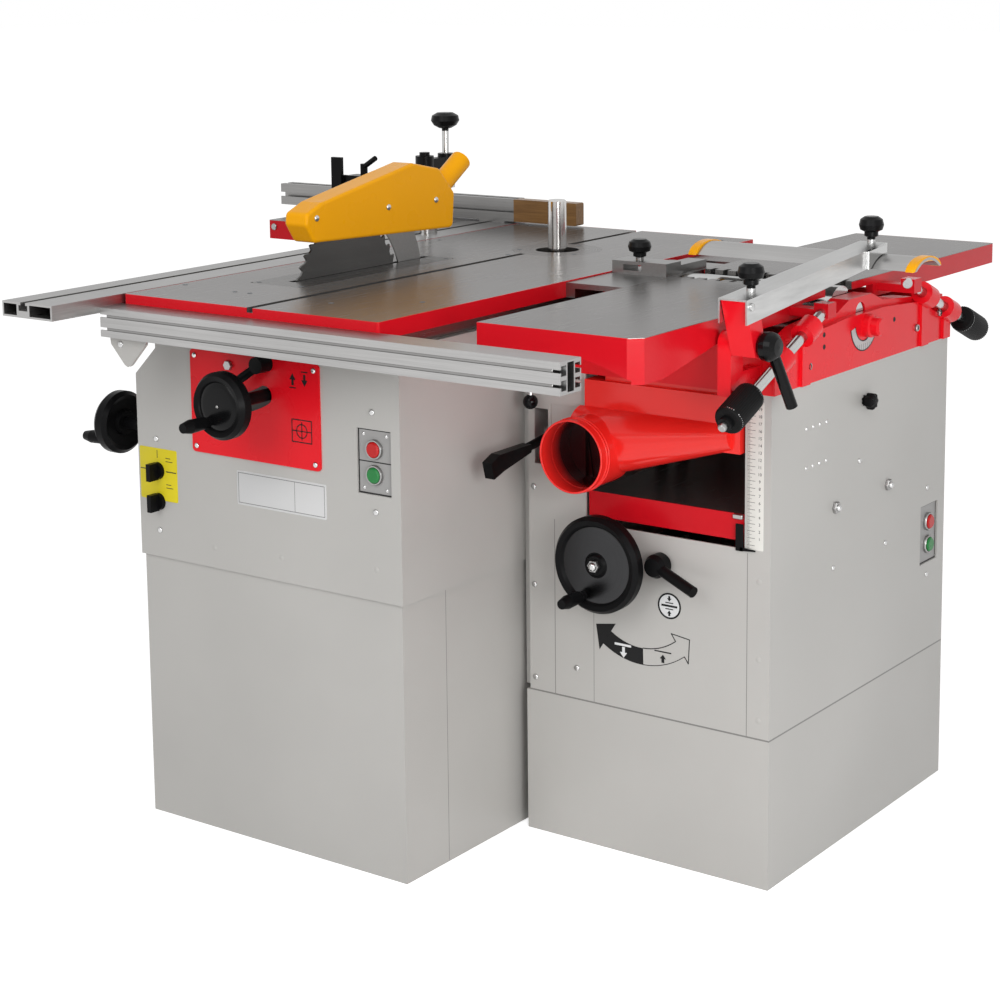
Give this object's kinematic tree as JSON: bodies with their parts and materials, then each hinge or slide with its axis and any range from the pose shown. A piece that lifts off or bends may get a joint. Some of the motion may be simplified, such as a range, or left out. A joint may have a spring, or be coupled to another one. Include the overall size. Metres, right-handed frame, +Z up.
{
  "type": "combination woodworking machine",
  "caption": "Combination woodworking machine: tilting saw and spindle moulder on one cabinet, surface planer and thicknesser on the other, with sliding carriage and guards.",
  "frame": {"origin": "on the floor, under the middle of the saw cabinet's plinth", "axes": "+X to the operator's right towards the planer, +Y away from the operator along the feed, +Z up"},
  "size_m": [1.527, 1.3, 1.017],
  "materials": {
    "grey_paint": "semi-gloss powder coat",
    "red_paint": "gloss enamel",
    "motor_paint": "satin",
    "table_iron": "ground top, enamelled sides",
    "raw_iron": "as cast",
    "steel": "brushed",
    "bright_steel": "polished",
    "aluminium": "satin anodised",
    "black_plastic": "satin",
    "yellow_plastic": "moulded gloss",
    "red_button": "gloss",
    "green_button": "gloss",
    "belt_rubber": "matt",
    "varnished_wood": "varnished"
  },
  "bodies": {
    "stand": {"plinths": "grey_paint", "saw_cabinet": "grey_paint", "planer_cabinet": "grey_paint", "saw_table": "table_iron", "table_insert": "steel", "spindle_ring": "table_iron", "front_rail": "aluminium", "tilt_panel": "red_paint", "switch_plates": "grey_paint", "planer_body": "red_paint", "dust_hood": "red_paint", "carriage_guide": "aluminium", "planer_motor": "motor_paint", "planer_belt": "belt_rubber", "fence_plate": "table_iron"},
    "tilt": {"tilt_cradle": "raw_iron"},
    "rise": {"saw_carriage": "raw_iron", "saw_motor": "motor_paint", "saw_belt": "belt_rubber", "riving_knife": "steel", "blade_guard": "yellow_plastic"},
    "blade": {"saw_blade": "steel", "saw_arbor": "steel"},
    "saw_motor_rotor": {"saw_motor_pulley": "raw_iron"},
    "rise_wheel": {"rise_handwheel": "black_plastic"},
    "tilt_wheel": {"tilt_handwheel": "black_plastic"},
    "tilt_lock": {"tilt_lock_lever": "black_plastic"},
    "quill": {"spindle_quill": "steel"},
    "spindle_shaft": {"spindle": "bright_steel"},
    "spindle_wheel": {"spindle_handwheel": "black_plastic"},
    "carriage": {"sliding_carriage": "aluminium", "crosscut_fence": "aluminium", "fence_tip": "varnished_wood", "outrigger_table": "red_paint", "hold_down_post": "bright_steel", "stop_carrier": "black_plastic"},
    "stop_flap": {"flip_stop": "black_plastic"},
    "hold_down": {"hold_down_screw": "black_plastic"},
    "thickness": {"thickness_table": "table_iron"},
    "thickness_wheel": {"thickness_handwheel": "black_plastic"},
    "thickness_lock": {"thickness_lock_lever": "black_plastic"},
    "feed": {"feed_lever": "black_plastic"},
    "infeed": {"infeed_table": "table_iron", "infeed_rods": "bright_steel"},
    "outfeed": {"outfeed_table": "table_iron", "outfeed_rods": "bright_steel"},
    "cutter": {"cutterblock": "steel"},
    "roller_in": {"infeed_roller": "steel"},
    "roller_out": {"outfeed_roller": "steel"},
    "planer_motor_rotor": {"planer_motor_pulley": "raw_iron"},
    "guard": {"guard_bracket": "red_paint", "guard_arm": "aluminium"},
    "bridge": {"bridge_guard": "aluminium"},
    "guard_clamp": {"guard_lever": "black_plastic"},
    "speed_knob": {"speed_selector": "black_plastic"},
    "mode_knob": {"mode_selector": "black_plastic"},
    "saw_stop": {"saw_stop_button": "red_button"},
    "saw_start": {"saw_start_button": "green_button"},
    "planer_stop": {"planer_stop_button": "red_button"},
    "planer_start": {"planer_start_button": "green_button"}
  },
  "joints": [
    {"name": "saw_tilt", "type": "hinge", "parent": "stand", "child": "tilt", "pos_m": [-0.069, 0, 0.812], "axis": [0, 1, 0], "range_deg": [0, 45]},
    {"name": "saw_rise", "type": "slide", "parent": "tilt", "child": "rise", "axis": [0, 0, 1], "range_m": [-0.04, 0]},
    {"name": "blade_spin", "type": "hinge", "parent": "rise", "child": "blade", "pos_m": [-0.069, -0.136, 0.772], "axis": [1, 0, 0], "continuous": true},
    {"name": "saw_motor_spin", "type": "hinge", "parent": "rise", "child": "saw_motor_rotor", "pos_m": [0.031, -0.136, 0.652], "axis": [1, 0, 0], "continuous": true},
    {"name": "rise_wheel_turn", "type": "hinge", "parent": "tilt", "child": "rise_wheel", "pos_m": [0.008, -0.5, 0.675], "axis": [0, 1, 0], "range_deg": [-1445, 5]},
    {"name": "tilt_wheel_turn", "type": "hinge", "parent": "stand", "child": "tilt_wheel", "pos_m": [-0.3, -0.375, 0.591], "axis": [1, 0, 0], "range_deg": [-5, 1085]},
    {"name": "tilt_lock_turn", "type": "hinge", "parent": "stand", "child": "tilt_lock", "pos_m": [0.014, -0.42, 0.722], "axis": [0, 1, 0], "range_deg": [0, 35]},
    {"name": "spindle_rise", "type": "slide", "parent": "stand", "child": "quill", "axis": [0, 0, 1], "range_m": [-0.075, 0.02]},
    {"name": "spindle_spin", "type": "hinge", "parent": "quill", "child": "spindle_shaft", "pos_m": [0.062, 0.241, 0.75], "axis": [0, 0, 1], "continuous": true},
    {"name": "spindle_wheel_turn", "type": "hinge", "parent": "stand", "child": "spindle_wheel", "pos_m": [-0.3, 0.2903, 0.64], "axis": [1, 0, 0], "range_deg": [-130, 480]},
    {"name": "carriage_slide", "type": "slide", "parent": "stand", "child": "carriage", "axis": [0, 1, 0], "range_m": [-0.28, 0.35]},
    {"name": "flip_stop_turn", "type": "hinge", "parent": "carriage", "child": "stop_flap", "pos_m": [-0.614, 0.503, 0.869], "axis": [-1, 0, 0], "range_deg": [0, 100]},
    {"name": "hold_down_screw", "type": "slide", "parent": "carriage", "child": "hold_down", "axis": [0, 0, 1], "range_m": [-0.04, 0]},
    {"name": "thickness_rise", "type": "slide", "parent": "stand", "child": "thickness", "axis": [0, 0, 1], "range_m": [-0.04, 0.008]},
    {"name": "thickness_wheel_turn", "type": "hinge", "parent": "stand", "child": "thickness_wheel", "pos_m": [0.424, -0.2, 0.44], "axis": [0, 1, 0], "range_deg": [-1445, 295]},
    {"name": "thickness_lock_turn", "type": "hinge", "parent": "stand", "child": "thickness_lock", "pos_m": [0.502, -0.16, 0.443], "axis": [0, 1, 0], "range_deg": [-25, 25]},
    {"name": "feed_lever_swing", "type": "hinge", "parent": "stand", "child": "feed", "pos_m": [0.295, -0.1, 0.6], "axis": [-1, 0, 0], "range_deg": [-20, 20]},
    {"name": "infeed_set", "type": "slide", "parent": "stand", "child": "infeed", "axis": [0, -0.9245, -0.3811], "range_m": [0, 0.02]},
    {"name": "outfeed_set", "type": "slide", "parent": "stand", "child": "outfeed", "axis": [0, 0.9245, -0.3811], "range_m": [0, 0.008]},
    {"name": "cutter_spin", "type": "hinge", "parent": "stand", "child": "cutter", "pos_m": [0.502, 0.136, 0.775], "axis": [1, 0, 0], "continuous": true},
    {"name": "infeed_roller_spin", "type": "hinge", "parent": "stand", "child": "roller_in", "pos_m": [0.502, 0.058, 0.759], "axis": [1, 0, 0], "continuous": true},
    {"name": "outfeed_roller_spin", "type": "hinge", "parent": "stand", "child": "roller_out", "pos_m": [0.502, 0.214, 0.759], "axis": [1, 0, 0], "continuous": true},
    {"name": "planer_motor_spin", "type": "hinge", "parent": "stand", "child": "planer_motor_rotor", "pos_m": [0.324, 0.25, 0.11], "axis": [1, 0, 0], "continuous": true},
    {"name": "guard_swing", "type": "hinge", "parent": "stand", "child": "guard", "pos_m": [0.672, -0.205, 0.78], "axis": [1, 0, 0], "range_deg": [0, 60]},
    {"name": "bridge_slide", "type": "slide", "parent": "guard", "child": "bridge", "axis": [1, 0, 0], "range_m": [-0.05, 0.15]},
    {"name": "guard_clamp_turn", "type": "hinge", "parent": "stand", "child": "guard_clamp", "pos_m": [0.7, -0.205, 0.78], "axis": [1, 0, 0], "range_deg": [-20, 20]},
    {"name": "speed_select", "type": "hinge", "parent": "stand", "child": "speed_knob", "pos_m": [-0.21, -0.42, 0.537], "axis": [0, 1, 0], "range_deg": [-45, 45]},
    {"name": "mode_select", "type": "hinge", "parent": "stand", "child": "mode_knob", "pos_m": [-0.21, -0.42, 0.49], "axis": [0, 1, 0], "range_deg": [-45, 45]},
    {"name": "saw_stop_press", "type": "slide", "parent": "stand", "child": "saw_stop", "axis": [0, 1, 0], "range_m": [0, 0.004], "stiffness_N_per_m": 500, "springref_m": -0.002},
    {"name": "saw_start_press", "type": "slide", "parent": "stand", "child": "saw_start", "axis": [0, 1, 0], "range_m": [0, 0.004], "stiffness_N_per_m": 500, "springref_m": -0.002},
    {"name": "planer_stop_press", "type": "slide", "parent": "stand", "child": "planer_stop", "axis": [-1, 0, 0], "range_m": [0, 0.004], "stiffness_N_per_m": 500, "springref_m": -0.002},
    {"name": "planer_start_press", "type": "slide", "parent": "stand", "child": "planer_start", "axis": [-1, 0, 0], "range_m": [0, 0.004], "stiffness_N_per_m": 500, "springref_m": -0.002}
  ],
  "couplings": [
    {"joint": "saw_motor_spin", "follows": "blade_spin", "ratio": 0.5882},
    {"joint": "rise_wheel_turn", "follows": "saw_rise", "rad_per_m": 628.32},
    {"joint": "tilt_wheel_turn", "follows": "saw_tilt", "ratio": 24},
    {"joint": "spindle_wheel_turn", "follows": "spindle_rise", "rad_per_m": -111.11},
    {"joint": "thickness_wheel_turn", "follows": "thickness_rise", "rad_per_m": 628.32},
    {"joint": "infeed_roller_spin", "follows": "cutter_spin", "ratio": -0.0107},
    {"joint": "outfeed_roller_spin", "follows": "cutter_spin", "ratio": -0.0107},
    {"joint": "planer_motor_spin", "follows": "cutter_spin", "ratio": 0.4444}
  ]
}
